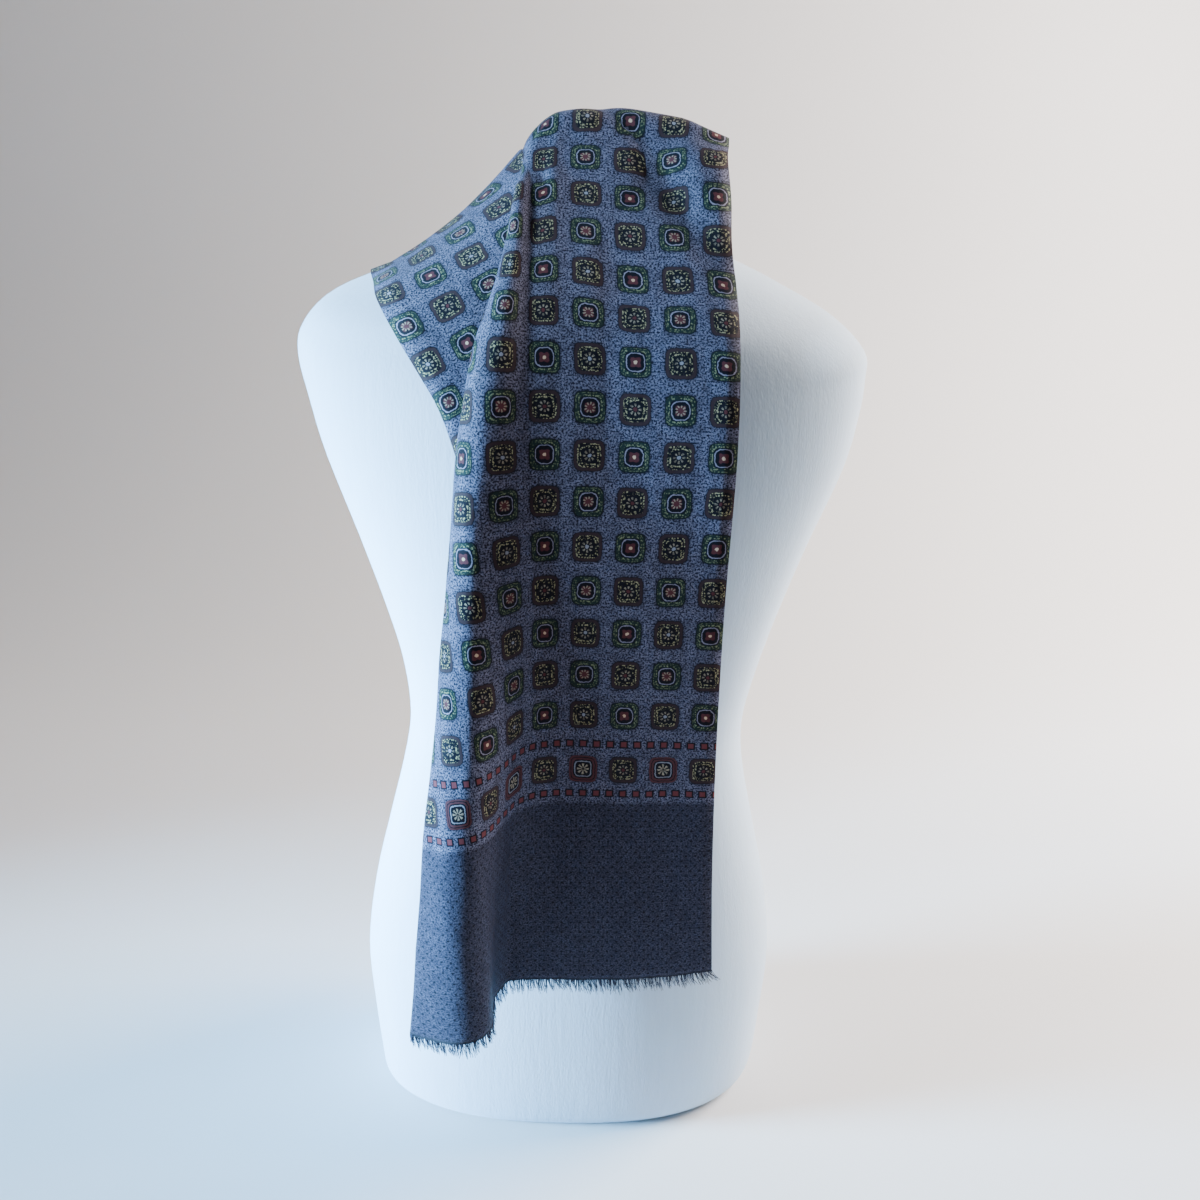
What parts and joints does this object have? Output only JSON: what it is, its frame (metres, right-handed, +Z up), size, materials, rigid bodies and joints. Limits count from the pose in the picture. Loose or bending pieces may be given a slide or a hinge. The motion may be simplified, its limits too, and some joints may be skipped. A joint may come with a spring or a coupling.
{
  "type": "fringed scarf on a limbless dress form",
  "caption": "Long rectangular patterned scarf with short fringed ends, draped over the neck and one shoulder of a smooth limbless dress form with a flat base.",
  "frame": {"origin": "middle of the dress form's flat base", "axes": "+Z up; the front of the form faces -Y; +X is the side of the neck on which the scarf hangs flat"},
  "size_m": [0.442, 0.3332, 0.8644],
  "materials": {
    "form_cover": "matt white jersey over a smooth body",
    "scarf_cloth": "printed fine twill with a soft sheen",
    "scarf_fringe": "loose navy threads"
  },
  "bodies": {
    "root": {"dress_form": "form_cover", "scarf_front_fall": "scarf_cloth", "scarf_back_fall": "scarf_cloth", "fringe_front": "scarf_fringe", "fringe_back": "scarf_fringe"}
  },
  "joints": []
}
